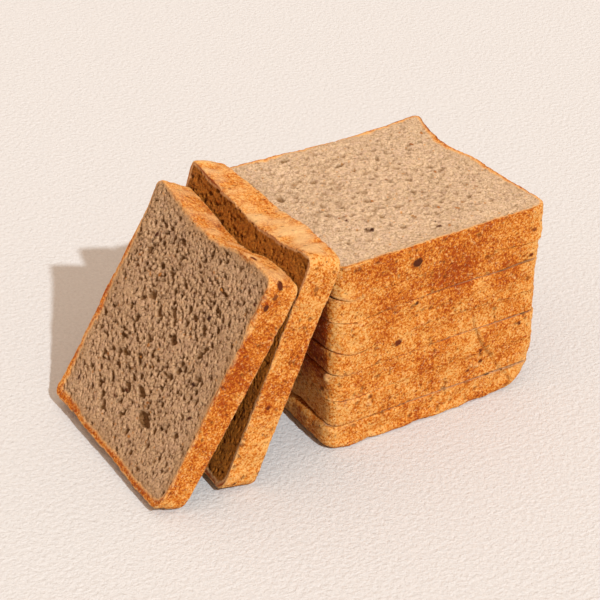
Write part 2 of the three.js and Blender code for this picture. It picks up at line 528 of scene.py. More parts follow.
# Seeds that show on a slice's side: x, y, z, size and tone
SIDE_SEEDS = {
    OUTER: [
        (42.6, 0, 13.0, 1.9, 0.2), (48.2, 0, 10.8, 1.7, 0.5), (53.0, 1.8, 10.0, 2.4, 0.2),
        (55.4, 20, 14.0, 1.9, 0.4), (55.4, 36, 13.6, 1.7, 0.4),
    ],
    INNER: [(41, 0, 8, 1.5, 0.7), (-16, 0, 9, 1.4, 0.4), (-52, 0, 11, 1.2, 0.2)],
    TOP: [(-14.5, 0, 7.9, 2.9, 0.12), (49.0, 0, 6.0, 1.2, 0.5)],
    "stack_slice_6": [(49.0, 0, 3.0, 1.5, 0.35)],
    "stack_slice_5": [(-12.5, 0, 13.6, 1.2, 0.1)],
    "stack_slice_4": [(-21.5, 0, 7.3, 2.2, 0.32)],
    "stack_slice_2": [(25.0, 0, 7.8, 1.3, 0.3), (17.6, 0, 5.2, 1.1, 0.4)],
    "stack_slice_3": [(45.0, 0, 9.5, 1.2, 0.3), (24.0, 0, 1.5, 1.3, 0.3)],
}


def edge_radii(m):
    """The radius of the slice's lower and upper edges at each place round it."""
    wobble = 1 + 0.35 * grain(m.rng, (1, m.count), 3 / m.step)[0]
    wobble = np.clip(wobble, 0.4, 1.8)
    nicks = grain(np.random.default_rng(NICK_SEED), (1, m.count), NICK_SIZE / m.step)[0]
    nicks = NICK_DEPTH * np.clip(nicks, 0, 2.5)
    if m.node in LEANING:
        low, high = LEANING_RADII
        return low * wobble + nicks, high * wobble + nicks
    place = STACK.index(m.node)
    low = np.full(m.count, HEEL_RADIUS)
    high = TOP_RADIUS * wobble + nicks
    if place > 0:
        low = seam_opening(SEAMS[place - 1], m.ring) * wobble
    if place < len(SEAMS):
        high = seam_opening(SEAMS[place], m.ring) * wobble
    return low, high


def seam_opening(seam, ring):
    """How open a seam is at each place round a slice, as the radius of its edges."""
    left, middle, right, left_wall = seam
    across = ring[:, 0] / np.abs(ring[:, 0]).max()
    front = middle + (left - middle) * smoothstep(0.25, 0.95, -across)
    front += (right - middle) * smoothstep(0.3, 0.9, across)
    back = smoothstep(3, 12, ring[:, 1])
    wall = SEAM_ELSEWHERE + (left_wall - SEAM_ELSEWHERE) * smoothstep(0.6, 0.9, -across)
    return front + (wall - front) * back


def finish_side(m):
    """Gives the side its grain, pits, seeds, lumps and tones."""
    shape = m.side.shape[:2]
    coarse = grain(m.rng, shape, 2.4 / m.step)
    fine = grain(m.rng, shape, 0.55 / m.step)
    slow = grain(m.rng, (1, m.count), 9 / m.step)
    m.rise = 0.2 * coarse + 0.11 * fine + 0.22 * slow
    m.side_values = {name: np.zeros(shape) for name in VALUES}
    m.side_values["crust"][:] = 1
    scatter_pits(m)
    scatter_seeds(m)
    place_seeds(m)
    edge = np.minimum(np.arange(m.rows), np.arange(m.rows)[::-1])[:, None]
    ragged = np.clip(0.5 + 0.5 * fine, 0, 1)
    if m.node in LEANING:
        flour_leaning_side(m, coarse, np.clip(1 - edge / 4, 0, 1) * ragged)
    else:
        m.side_values["lip"][:] = corner_lips(m, edge, ragged)
        # Painted shade along each seam, where the gap between slices lies in shade
        deepen("pit_shade", m, np.clip(1 - edge / 2.2, 0, 1) * painted_seam_shade(m))
        press_crease(m, coarse)
    add_lumps(m)
    m.side_values["tone"][:] = side_tone(m)
    quiet = smoothstep(-2, 5, edge)
    m.side = m.side + m.outward * (m.rise * quiet)[..., None]
    if m.node in STACK:
        close_seams(m)


def deepen(name, m, values):
    """Raises one of the side's values where the new ones are higher."""
    m.side_values[name] = np.maximum(m.side_values[name], values)


def scattered_spots(rng, side, count, sizes):
    """Random places on the side, each with its vertices' squared distance in radii."""
    flat = side.reshape(-1, 3)
    for place in rng.integers(0, len(flat), count):
        size = rng.uniform(*sizes)
        shape = size * rng.uniform(0.65, 1.35, 3)
        yield (((flat - flat[place]) / shape) ** 2).sum(1).reshape(side.shape[:2]), size


def scatter_pits(m):
    for away, size in scattered_spots(m.rng, m.side, PIT_COUNT, PIT_SIZES):
        hollow = np.clip(1 - away, 0, 1)
        m.rise -= 0.45 * size * hollow
        # Painted shade down in each pit
        deepen("pit_shade", m, 0.8 * np.sqrt(hollow))


def scatter_seeds(m):
    count = LEANING_SEED_COUNT if m.node in LEANING else STACKED_SEED_COUNT
    for away, _ in scattered_spots(m.rng, m.side, count, SEED_SIZES):
        add_side_seed(m, away, 0.2, 0.8, 0.6, m.rng.uniform(0.1, 0.9))


def place_seeds(m):
    for x, y, z, size, tone in SIDE_SEEDS.get(m.node, ()):
        away = (((m.side - [x, y, z]) / [size, size, size * 0.8]) ** 2).sum(2)
        add_side_seed(m, away, 0.3, 1.0, 0.35, tone)


def add_side_seed(m, away, rise, strength, full, tone):
    """A seed that stands up from the side; it shows fully where its swell passes full."""
    swell = np.clip(1 - away, 0, 1)
    m.rise += rise * np.sqrt(swell)
    deepen("seed", m, strength * smoothstep(0, full, swell))
    m.side_values["seed_tone"] = np.where(swell > 0, tone, m.side_values["seed_tone"])


def flour_leaning_side(m, coarse, lips):
    """Pale crumb along a leaning slice's edges, and flour on the wall that lies on top."""
    floury = FLOURY[m.node] * np.clip(0.5 + 0.8 * coarse, 0, 1.5) * on_right_wall(m)
    m.side_values["lip"][:] = np.maximum(lips, floury)


def corner_lips(m, edge, ragged):
    """Pale crumb beside the seams at the front's left corner."""
    corner = smoothstep(-35, -52, m.ring[:, 0]) * smoothstep(12, 3, m.ring[:, 1])
    return np.clip(1 - np.abs(edge - 3) / 2, 0, 1) * ragged * corner * 0.7


def painted_seam_shade(m):
    """How dark the painted shade along each seam is: fainter in the middle of the front and where it is
    shut.
    """
    line = np.clip(0.5 + 0.55 * grain(m.rng, (1, m.count), 5 / m.step)[0], 0.05, 1)
    line *= 1 - 0.75 * smoothstep(-40, -20, m.ring[:, 0]) * smoothstep(45, 25, m.ring[:, 0])
    low, high = m.radii
    lower_half = np.arange(m.rows)[:, None] < m.rows / 2
    return line * np.clip(np.where(lower_half, low, high) / SEAM_ELSEWHERE, 0.2, 1)


def press_crease(m, coarse):
    groove = crease(m)
    m.rise -= CREASE_DEPTH * groove
    # Painted shade down the crease
    deepen("pit_shade", m, 0.75 * groove * np.clip(0.8 + 0.4 * coarse, 0.2, 1))


def crease(m):
    """How deep in the crease each point of the side lies, from 0 to 1."""
    world = m.frame.to_world(m.side.reshape(-1, 3))
    left, front = np.array(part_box("stack_slice_4")[0][:2]) / MM
    flat = np.stack([world[:, 0] - left, world[:, 2]], 1)
    nearest = np.full(len(flat), np.inf)
    for start, end in zip(np.array(CREASE), np.array(CREASE)[1:]):
        along = end - start
        share = np.clip((flat - start) @ along / (along @ along), 0, 1)
        nearest = np.minimum(nearest, np.linalg.norm(flat - start - share[:, None] * along, axis=1))
    deep = np.where(world[:, 1] < front + 8, bump(nearest, 0, CREASE_WIDTH), 0)
    return deep.reshape(m.side.shape[:2])


def add_lumps(m):
    flat = m.side.reshape(-1, 3)
    for x, y, z, size in LUMPS.get(m.node, ()):
        nearest = flat[((flat - [x, y, z]) ** 2).sum(1).argmin()]
        swell = np.clip(1 - (((m.side - nearest) / size) ** 2).sum(2), 0, 1)
        m.rise += LUMP_RISE * np.sqrt(swell)
        deepen("lip", m, swell)


def close_seams(m):
    """Where a seam is nearly shut, its two edges meet."""
    low, high = m.radii
    if m.node != HEEL:
        m.side[:2, :, 2] -= np.clip(1 - low / CLOSED_BELOW, 0, 1) * SLICE_GAP / 2
    if m.node != TOP:
        m.side[-2:, :, 2] += np.clip(1 - high / CLOSED_BELOW, 0, 1) * SLICE_GAP / 2


def on_right_wall(m):
    """1 along the right wall and 0 elsewhere, for each place round the side."""
    place = np.arange(m.count) * m.step
    start, end = m.across * m.step, (m.across + m.up) * m.step
    return smoothstep(start - 3, start + 3, place) * smoothstep(end + 1, end - 3, place)


def side_tone(m):
    """How toasted the crust is, paler at the corners and redder in patches, with painted shade and light on
    the stack's left wall.
    """
    tone = np.zeros(m.side.shape[:2])
    place = np.arange(m.count)
    for corner in (0, m.across, m.across + m.up, 2 * m.across + m.up):
        away = np.abs((place - corner + m.count / 2) % m.count - m.count / 2) * m.step
        tone -= 0.22 * bump(away, 0, 6)
    base = smoothstep(3, 0.5, m.ring[:, 1])
    if m.node in LEANING:
        return tone + leaning_tone(m, base)
    return tone + stacked_toast_and_painted_shade(m, base)


def leaning_tone(m, base):
    x = m.ring[:, 0]
    tone = base * (0.24 * bump(x, 18, 32) - BASE_PALENESS[m.node])
    tone += base * BASE_REDNESS[m.node] * smoothstep(52, 40, x)
    return tone - TOP_PALENESS[m.node] * on_right_wall(m)


def stacked_toast_and_painted_shade(m, base):
    """Toasted in the middle of the front; painted shade high on the left wall, painted floor light low on
    it.
    """
    x, y = m.ring.T
    world = m.frame.to_world(m.side.reshape(-1, 3)).reshape(m.side.shape)
    from_left = world[..., 0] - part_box("stack_slice_4")[0][0] / MM
    height = world[..., 2]
    tone = base * 0.36 * bump(from_left, 62, 32) * smoothstep(52, 74, height)
    tone += base * 0.1 * bump(from_left, 45, 30) * bump(height, 30, 14)
    tone -= base * 0.04 * smoothstep(24, 6, from_left)
    # High on the left wall, in the shade behind the leaning slices, the crust is darker and redder: painted
    # shade. Low on it, it is paler: painted light thrown up from the floor.
    tone += (0.72 * smoothstep(22, 46, height) - 0.12) * smoothstep(-50, -54, x) * smoothstep(2, 7, y)
    return tone


# ---- the shape of the crumb

# Large holes in the crumb: x, y, length, width, turn in degrees and depth
HOLES = {
    OUTER: [
        (-34.9, 37.3, 4.8, 2.7, 85, 4.0), (-26.6, 46.5, 4.4, 1.9, 80, 3.0),
        (2.3, 42.8, 2.9, 2.5, 60, 3.5), (6.9, 60.2, 2.6, 1.8, 20, 2.5),
        (-18.8, 68.5, 2.2, 1.6, 70, 2.5), (-42.2, 65.7, 2.2, 1.5, 60, 2.2),
        (16.9, 36.4, 2.4, 1.7, 80, 2.2), (44.9, 43.7, 2.8, 1.3, 10, 3.0),
        (8.2, 48.0, 2.0, 1.6, 40, 2.5), (12.0, 40.0, 1.9, 1.4, 30, 2.2),
    ],
    TOP: [
        (-23.4, 92.6, 2.6, 1.6, 0, 2.2), (-4.1, 77.0, 3.4, 1.1, 20, 2.4),
        (-43.6, 65.1, 3.2, 1.8, 80, 1.6), (-31.0, 73.5, 3.1, 1.9, 30, 0.9),
        (-16.0, 61.0, 3.6, 2.0, 65, 0.8), (3.0, 66.0, 2.9, 1.7, 10, 0.9),
        (-35.0, 86.0, 2.6, 1.7, 0, 0.9), (-24.0, 48.0, 2.8, 1.6, 100, 0.8),
    ],
}

# Seeds and bran in the crumb: x, y, size and tone, from 0 for dark to 1 for orange
FACE_SEEDS = {
    OUTER: [
        (-6.0, 17.4, 1.6, 0.0), (-18.4, 9.8, 1.5, 0.1), (22.0, 26.6, 1.7, 0.0), (33.0, 84.4, 1.6, 0.1),
        (-8.0, 56.0, 1.3, 0.8), (20.0, 70.0, 1.3, 0.9),
    ],
    TOP: [
        (-23.9, 21.1, 1.6, 0.0), (-54.0, 58.7, 1.5, 0.1), (3.2, 9.2, 1.5, 0.1), (12.4, 22.9, 1.4, 0.9),
        (46.3, 84.4, 1.3, 0.9), (30.0, 50.0, 1.2, 0.8),
    ],
}

# How open each slice's crumb is: the share of its pores and their depth; and how much painted warm shade
# its face gets, most on the inner leaning slice that lies between the slices
OPENNESS = {OUTER: (1.0, 0.95), INNER: (0.9, 0.75), TOP: (1.0, 0.5)}
PAINTED_WARM_SHADE = {OUTER: 0.32, INNER: 1.0, TOP: 0.0}

# How strongly the finest pores show in each slice's crumb, as bump and as painted shade
FINE_PORES = {OUTER: 0.92, INNER: 1.0, TOP: 0.62}

# How far the crust shows round the edge of a cut face: along the base, the right wall, the top crust
# and the left wall
CRUST_EDGE = {
    OUTER: (0.5, 0.6, 1.3, 2.7),
    INNER: (0.5, 0.6, 1.0, 2.0),
    TOP: (0.5, 1.1, 1.2, 0.6),
}

# The fine grid over a cut face: its cell, its lowest corner and its numbers of rows and columns
CELL = 0.25
GRID_LOW = (-62.0, -5.0)
GRID_SHAPE = (460, 500)

# The place that the pores are drawn out round, and how far the crumb reaches from it
MIDDLE = (0.0, 52.0)
HALF_WIDTH, HALF_HEIGHT = 55, 51

# The pores, small to large: the spacing of their places, the range of their radii and depths, and
# the chance that a place has one
PORES = (
    (1.45, (0.4, 0.64), (0.35, 1.0), 0.4),
    (2.4, (0.5, 0.92), (0.8, 2.1), 0.6),
    (5.5, (0.85, 1.5), (1.6, 2.9), 0.55),
)
# A hidden face has only the pores that can grow to this radius
SMALLEST_HIDDEN = 1.0
# How many seeds are scattered over a face, and the tones they may have
SCATTERED_SEEDS = 14
SCATTERED_TONES = (0.05, 0.15, 0.75, 0.95)


class Crumb:
    """The hollows and seeds of a cut face, on a fine grid over it."""

    def __init__(self, node, rng, smallest):
        self.share, self.deepness = OPENNESS.get(node, (0.6, 0.7))
        self.depth = np.zeros(GRID_SHAPE)
        self.seed = np.zeros(GRID_SHAPE)
        self.tone = np.zeros(GRID_SHAPE)
        self.rng = rng
        self.scatter_pores(smallest)
        for x, y, length, width, turn, depth in HOLES.get(node, ()):
            self.hollow(x, y, length, width, math.radians(turn), depth)
        self.scatter_seeds()
        for x, y, size, tone in FACE_SEEDS.get(node, ()):
            self.add_seed(x, y, size, tone)
        self.swell = 0.22 * grain(rng, GRID_SHAPE, 6 / CELL) + 0.06 * grain(rng, GRID_SHAPE, 1.4 / CELL)
        self.swell += 0.035 * grain(rng, GRID_SHAPE, 0.5 / CELL)

    def window(self, x, y, reach):
        """The grid's cells within reach of a place, and their distances from it."""
        column, row = (np.array([x, y]) - GRID_LOW) / CELL
        cells = int(reach / CELL) + 1
        rows = slice(max(int(row) - cells, 0), min(int(row) + cells + 1, GRID_SHAPE[0]))
        columns = slice(max(int(column) - cells, 0), min(int(column) + cells + 1, GRID_SHAPE[1]))
        dy = (np.arange(rows.start, rows.stop) - row)[:, None] * CELL
        dx = (np.arange(columns.start, columns.stop) - column)[None] * CELL
        return (rows, columns), dx, dy

    def ellipse(self, x, y, length, width, turn):
        """The cells of an ellipse, 1 in its middle and 0 at its edge and beyond."""
        place, dx, dy = self.window(x, y, max(length, width))
        along = (dx * math.cos(turn) + dy * math.sin(turn)) / length
        aside = (dy * math.cos(turn) - dx * math.sin(turn)) / width
        return place, np.clip(1 - along**2 - aside**2, 0, 1)

    def hollow(self, x, y, length, width, turn, depth):
        place, inside_it = self.ellipse(x, y, length, width, turn)
        self.depth[place] = np.maximum(self.depth[place], depth * inside_it**0.45)

    def add_seed(self, x, y, size, tone):
        place, inside_it = self.ellipse(x, y, size, size * 0.62, self.rng.uniform(0, math.pi))
        self.seed[place] = np.maximum(self.seed[place], smoothstep(0, 0.4, inside_it))
        self.tone[place] = np.where(inside_it > 0, tone, self.tone[place])

    def scatter_pores(self, smallest):
        """Pores on jittered grids, drawn out round the loaf's middle as the dough was rolled."""
        for spacing, radii, depths, chance in PORES:
            if radii[1] < smallest:
                continue
            for y in np.arange(0, 104, spacing):
                for x in np.arange(-57, 57, spacing):
                    place, size, depth, turn, stretch, luck = self.rng.uniform(size=6)
                    if luck > chance * self.share:
                        continue
                    px = x + spacing * (place - 0.5)
                    py = y + spacing * (turn - 0.5)
                    self.hollow(px, py, *self.pore(px, py, radii, depths, size, depth, turn, stretch))

    def pore(self, x, y, radii, depths, size, depth, turn, stretch):
        """A pore's length, width, direction and depth; it is smaller and more in line by the crust."""
        dx, dy = x - MIDDLE[0], y - MIDDLE[1]
        tangent = math.atan2(dx / HALF_WIDTH**2, -dy / HALF_HEIGHT**2)
        edge = max(abs(dx) / HALF_WIDTH, abs(dy) / HALF_HEIGHT)
        scale = 1.12 - 0.38 * smoothstep(0.55, 1.0, edge)
        width = (radii[0] + (radii[1] - radii[0]) * size**1.6) * scale
        length = width * (1.0 + 0.65 * stretch)
        way = tangent + (turn * 7 % 1 - 0.5) * (2.4 - 1.5 * edge)
        depth = depths[0] + (depths[1] - depths[0]) * depth
        return length, width, way, depth * scale * self.deepness

    def scatter_seeds(self):
        for _ in range(SCATTERED_SEEDS):
            x, y = self.rng.uniform((-52, 4), (52, 97))
            self.add_seed(x, y, self.rng.uniform(0.7, 1.3), self.rng.choice(SCATTERED_TONES))

    def at(self, points, field):
        """One of the grid's fields at each point."""
        column, row = ((points[:, :2] - GRID_LOW) / CELL).T
        column = np.clip(column, 0, GRID_SHAPE[1] - 1.001)
        row = np.clip(row, 0, GRID_SHAPE[0] - 1.001)
        i, j = row.astype(int), column.astype(int)
        fi, fj = row - i, column - j
        upper = field[i, j] * (1 - fj) + field[i, j + 1] * fj
        lower = field[i + 1, j] * (1 - fj) + field[i + 1, j + 1] * fj
        return upper * (1 - fi) + lower * fi


def crust_edge(m, points):
    """How far in from the rim the crust reaches at each point of a face."""
    base, right, top, left = CRUST_EDGE.get(m.node, (0.6, 0.6, 0.6, 0.6))
    x, y = points[:, 0], points[:, 1]
    half = m.across * m.step / 2
    reach = base + (top - base) * smoothstep(0.3, 0.9, y / (m.up * m.step))
    reach += (right - reach) * smoothstep(half - 8, half - 2, x)
    return reach + (left - reach) * smoothstep(half - 8, half - 2, -x)


def finish_face(m, kind, points, rim, upper):
    """Gives a face's inner points their relief and values; placed holes are in upper faces only."""
    count = len(points)
    values = {name: np.zeros(count) for name in VALUES}
    away = rim_distance(points, rim)
    points = points.copy()
    way = 1 if upper else -1
    if kind == "end":
        values["crust"][:] = 1
        return points, values
    crumb = Crumb(m.node if upper else None, m.rng, 0 if kind == "cut" else SMALLEST_HIDDEN)
    ragged = 2 * crumb.at(points, crumb.swell)
    edge = crust_edge(m, points)
    inner = smoothstep(0.0, 1.0, away - 0.7 * edge + ragged * 0.5)
    depth = crumb.at(points, crumb.depth) * inner
    seed = crumb.at(points, crumb.seed) * smoothstep(1.2, 2, away)
    swell = crumb.at(points, crumb.swell) * smoothstep(0, 2, away)
    values["crust"] = 1 - smoothstep(0.0, 0.9, away - edge + ragged)
    values["lip"] = bump(away - edge + ragged, 0.3, 0.9)
    # Painted warm shade over the whole face, by slice
    values["tone"][:] = PAINTED_WARM_SHADE.get(m.node, 0.5)
    values["dense"] = smoothstep(8, 1, away) * (1.0 if m.node in LEANING else 0.45)
    values["fine"][:] = FINE_PORES.get(m.node, 1.0)
    # Painted shade down in each pore, by its depth
    values["pit_shade"] = np.clip(depth / 2.0, 0, 1)
    values["seed"] = seed
    values["seed_tone"] = crumb.at(points, crumb.tone)
    if kind == "hidden":
        points[:, 2] -= way * (0.6 * depth + 0.15)
        return points, values
    points[:, 2] += way * (swell - depth * (1 - seed) + 0.15 * seed)
    return points, values


# ---- how the slices have settled

# How each leaning slice has sagged, in millimetres. At its foot, how far the upper face has slid down
# ("squash") and how much thinner the slice is ("thin"). At the wall on top, how far the corner at the
# top crust stands off ("flare"), the upper face's edge is pressed down ("pinch") and the lower face's
# edge is raised ("waist"). Then the bow of both faces, and along the top crust how far its hollow is
# filled, how far it swells, and what its upper corner loses ("trim").
SAG_PARTS = ("squash", "thin", "flare", "pinch", "waist", "bow", "fill", "swell", "trim")
SAG = {
    INNER: dict(zip(SAG_PARTS, (3.6, 0.8, 1.5, 5.5, 4.0, 0.8, 0.5, 0.0, -0.2))),
    OUTER: dict(zip(SAG_PARTS, (5.8, 5.1, 1.6, 0.0, 1.5, -0.4, 3.6, 1.6, 1.6))),
}
FOOT_REACH = 24

# How far each stacked slice's right end sticks out at the front
END_PUSH = {
    TOP: 0.9, "stack_slice_6": 1.6, "stack_slice_5": -0.3, "stack_slice_2": 1.0, HEEL: 1.3,
}


def stack_wander(points):
    """How far up the stack's layers bend at each point, alike for both sides of a seam."""
    heights = np.array([0.0] + [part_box(node)[1][2] / MM for node in STACK])
    left, front = np.array(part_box("stack_slice_4")[0][:2]) / MM
    x = points[:, 0] - left
    bends = [np.zeros(len(points))]
    for number, (lift, dip, swell, droop) in enumerate(WANDER):
        bend = lift * bump(x, 0, 7) + dip * bump(x, 13, 10) + swell * bump(x, 66, 27)
        bend += droop * smoothstep(85, 105, x)
        near_front = np.exp(-np.clip(points[:, 1] - front, 0, None) / 45)
        rear = 0.7 * np.sin(x / 15 + number * 1.7) * np.cos(points[:, 1] / 19 + number)
        bends.append(bend * near_front + rear * (1 - near_front))
    bends.append(np.zeros(len(points)))
    bends = np.stack(bends)
    above = np.clip(np.searchsorted(heights, points[:, 2]), 1, len(heights) - 1)
    share = np.clip((points[:, 2] - heights[above - 1]) / (heights[above] - heights[above - 1]), 0, 1)
    which = np.arange(len(points))
    return bends[above - 1, which] * (1 - share) + bends[above, which] * share


def settled(node, points, m):
    """World points in millimetres after the slice has sagged, bent and been pressed."""
    x, y, z = np.vstack(m.points).T
    if node in STACK:
        points = points + pushed_out(node, x, y, z, m)
        points[:, 2] += stack_wander(points)
        return points
    sag = SAG[node]
    up_slope = x - x.min()
    through = z / m.frame.thickness
    near_top = smoothstep(55, 100, y)
    squash = sag["squash"] * smoothstep(FOOT_REACH, 0, up_slope) * through
    squash *= 1 - 0.55 * smoothstep(60, LOAF_HEIGHT, y)
    thin = sag["thin"] * through * (1 - up_slope / LOAF_WIDTH)
    thin *= 1 - 0.72 * np.clip(y / LOAF_HEIGHT, 0, 1) ** 1.5
    flare = sag["flare"] * smoothstep(75, LOAF_WIDTH, up_slope) * smoothstep(70, LOAF_HEIGHT, y)
    pinch = sag["pinch"] * through * bump(y, 30, 22) * smoothstep(62, 104, up_slope)
    waist = sag["waist"] * (1 - through) * bump(y, 66, 30) * smoothstep(70, 104, up_slope)
    bow = sag["bow"] * np.sin(np.pi * np.clip(up_slope / LOAF_WIDTH, 0, 1)) * (0.6 - y / 170)
    full = sag["fill"] * (1 - (x / 54) ** 2) * (1 + 0.25 * x / 54) * near_top
    full += (sag["swell"] * bump(x, -10, 34) - sag["trim"] * bump(x, 42, 16)) * near_top
    moved = points + (waist - squash - pinch)[:, None] * m.frame.x + full[:, None] * m.frame.y
    moved[:, 0] += thin
    return moved + (bow + flare + 0.12 * squash)[:, None] * m.frame.z


def pushed_out(node, x, y, z, m):
    """How far a stacked slice's outline strays from its neighbours', in its own plane."""
    right = smoothstep(20, 55, x)
    across = END_PUSH.get(node, 0) * right * bump(y, 5, 28)
    along = np.zeros(len(x))
    if node == TOP:
        across -= 1.9 * right * bump(y, 44, 34)
        along += 2.3 * bump(x, -18, 34) * smoothstep(60, 100, y)
    if node == HEEL:
        wavy = 1 + 0.16 * np.sin(x / 4.1) + 0.14 * np.sin(x / 2.3 + 1)
        reach = smoothstep(48, 20, x) * smoothstep(-56, -48, x) * wavy
        along -= 2.7 * reach * np.clip(1 - z / 6, 0, 1) ** 2 * smoothstep(14, 2, y)
    return across[:, None] * m.frame.x + along[:, None] * m.frame.y


# ---- materials

# Patches of colour: the size, detail, roughness and seed of their noise, the values at which they start
# and are full, their strength and their tint. On the crust pale flour and dark bran; in the crumb
# brown, mauve and olive patches, pale crumbs and orange specks.
FLOUR_AND_BRAN = [
    ((1.5, 3, 0.75, 3.0), 0.56, 0.66, 0.62, (0.80, 0.49, 0.21)),
    ((1.2, 2, 0.7, 4.0), 0.62, 0.69, 0.85, (0.17, 0.04, 0.006)),
]
CRUMB_PATCHES = [
    ((3.6, 3, 0.65, 13.0), 0.42, 0.62, 0.4, (0.49, 0.31, 0.19)),
    ((2.2, 3, 0.6, 6.0), 0.45, 0.7, 0.55, (0.52, 0.335, 0.255)),
    ((1.0, 2, 0.8, 7.0), 0.5, 0.66, 0.6, (0.42, 0.27, 0.10)),
    ((0.8, 2, 0.85, 12.0), 0.5, 0.64, 0.65, (0.70, 0.54, 0.355)),
    ((1.7, 0, 0.5, 8.0), 0.72, 0.8, 0.7, (0.58, 0.25, 0.06)),
]

# The places of a mix node's colour sockets
MIX_SHARE, MIX_FIRST, MIX_SECOND = 0, 6, 7
MIX_RESULT = 2

# The floor's colour, and the share of it that is left in its darkest patches
FLOOR_COLOUR = (0.675, 0.67, 0.655)
FLOOR_DARKEST = 0.87


class Tree:
    """Small helpers for building a material's nodes."""

    def __init__(self, material):
        material.use_nodes = True
        self.nodes = material.node_tree.nodes
        self.links = material.node_tree.links
        self.shader = self.nodes["Principled BSDF"]
        self.place = self.nodes.new("ShaderNodeTexCoord").outputs["Object"]

    def set(self, socket, value):
        """Gives a socket a value, or links another socket to it."""
        if isinstance(value, bpy.types.NodeSocket):
            self.links.new(value, socket)
        else:
            socket.default_value = value

    def new(self, kind, **inputs):
        """A node with its inputs set or linked; an underscore in a name stands for a space."""
        node = self.nodes.new("ShaderNode" + kind)
        for name, value in inputs.items():
            self.set(node.inputs[name.replace("_", " ")], value)
        return node

    def attribute(self, name):
        node = self.new("Attribute")
        node.attribute_name = name
        return node.outputs["Fac"]

    def noise(self, size, detail=2.0, roughness=0.5, seed=0.0):
        """Noise whose features are about size millimetres across."""
        node = self.new("TexNoise", Vector=self.place, Scale=1 / (size * MM), Detail=detail)
        self.set(node.inputs["Roughness"], roughness)
        node.noise_dimensions = "4D"
        self.set(node.inputs["W"], seed)
        return node.outputs["Fac"]

    def cells(self, size):
        """The distance from the middles of random cells about size millimetres across."""
        return self.new("TexVoronoi", Vector=self.place, Scale=1 / (size * MM)).outputs["Distance"]

    def math(self, kind, first, second):
        node = self.new("Math")
        node.operation = kind
        self.set(node.inputs[0], first)
        self.set(node.inputs[1], second)
        return node.outputs[0]

    def spread(self, value, low, high, to_low=0.0, to_high=1.0):
        """The value's range from low to high, stretched to another and cut off at its ends."""
        node = self.new("MapRange", Value=value, From_Min=low, From_Max=high, To_Min=to_low, To_Max=to_high)
        return node.outputs["Result"]

    def mix(self, share, first, second, blend="MIX"):
        """Two colours mixed; a mix node's colour sockets share their names, so they go by number."""
        node = self.new("Mix")
        node.data_type = "RGBA"
        node.blend_type = blend
        self.set(node.inputs[MIX_SHARE], share)
        self.set(node.inputs[MIX_FIRST], first)
        self.set(node.inputs[MIX_SECOND], second)
        return node.outputs[MIX_RESULT]

    def ramp(self, value, stops):
        node = self.new("ValToRGB", Fac=value)
        elements = node.color_ramp.elements
        while len(elements) < len(stops):
            elements.new(0.5)
        for element, (place, colour) in zip(elements, stops):
            element.position = place
            element.color = colour
        return node.outputs["Color"]

    def bump(self, height, distance):
        return self.new("Bump", Height=height, Distance=distance * MM).outputs["Normal"]

    def layers(self, colour, table):
        """Lays patches over a colour: each row holds a noise, where it starts and is full, and a tint."""
        for noise, low, high, strength, tint in table:
            share = self.spread(self.noise(*noise), low, high, 0, strength)
            colour = self.mix(share, colour, rgb(*tint))
        return colour


def rgb(red, green, blue):
    return (red, green, blue, 1.0)


def crust_colour(tree):
    """Golden crust, toasted redder in patches, with fine grain, floury specks, dark bran and painted shade
    in its pits, seams and crease.
    """
    tone = tree.attribute("tone")
    patches = tree.spread(tree.noise(16, 3), 0.32, 0.68, -0.27, 0.27)
    blotches = tree.spread(tree.noise(3.2, 3, 0.6, 1.0), 0.3, 0.7, -0.28, 0.28)
    grains = tree.spread(tree.noise(1.0, 3, 0.75, 2.0), 0.32, 0.68, -0.74, 0.74)
    level = tree.math("ADD", tree.math("ADD", tone, patches), tree.math("ADD", blotches, grains))
    level = tree.math("ADD", level, 0.42)
    colour = tree.ramp(
        level,
        [
            (0.0, rgb(0.71, 0.37, 0.11)),
            (0.3, rgb(0.625, 0.226, 0.031)),
            (0.62, rgb(0.505, 0.131, 0.008)),
            (1.0, rgb(0.29, 0.042, 0.002)),
        ],
    )
    colour = tree.layers(colour, FLOUR_AND_BRAN)
    lip = tree.math("MULTIPLY", tree.attribute("lip"), 0.6)
    colour = tree.mix(lip, colour, rgb(0.75, 0.49, 0.225))
    # Painted shade down in the pits, along the seams and in the crease
    hollow = tree.math("MULTIPLY", tree.attribute("pit_shade"), 0.8)
    return tree.mix(hollow, colour, rgb(0.09, 0.02, 0.004))


def crumb_colour(tree, fine_pore_relief_and_shade):
    """Beige crumb, mauve and olive in places, browner by the crust; painted shade darkens its pores and
    painted warm shade its face.
    """
    patches = tree.noise(16, 2, 0.5, 5.0)
    colour = tree.ramp(
        tree.spread(patches, 0.3, 0.7),
        [(0.0, rgb(0.63, 0.44, 0.27)), (1.0, rgb(0.75, 0.535, 0.338))],
    )
    colour = tree.layers(colour, CRUMB_PATCHES)
    # Painted shade in the finest pores
    colour = tree.mix(tree.math("MULTIPLY", fine_pore_relief_and_shade, 0.62), colour, rgb(0.29, 0.155, 0.055))
    dense = tree.math("MULTIPLY", tree.attribute("dense"), 0.45)
    colour = tree.mix(dense, colour, rgb(0.44, 0.26, 0.11))
    # Painted shade down in the pores, by their depth
    hollow = tree.spread(tree.attribute("pit_shade"), 0.1, 0.75, 0, 0.82)
    colour = tree.mix(hollow, colour, rgb(0.17, 0.075, 0.014))
    # Painted warm shade: the crumb is darkened towards warm brown by the face's tone
    return tree.mix(tree.attribute("tone"), colour, rgb(0.59, 0.29, 0.055), "MULTIPLY")


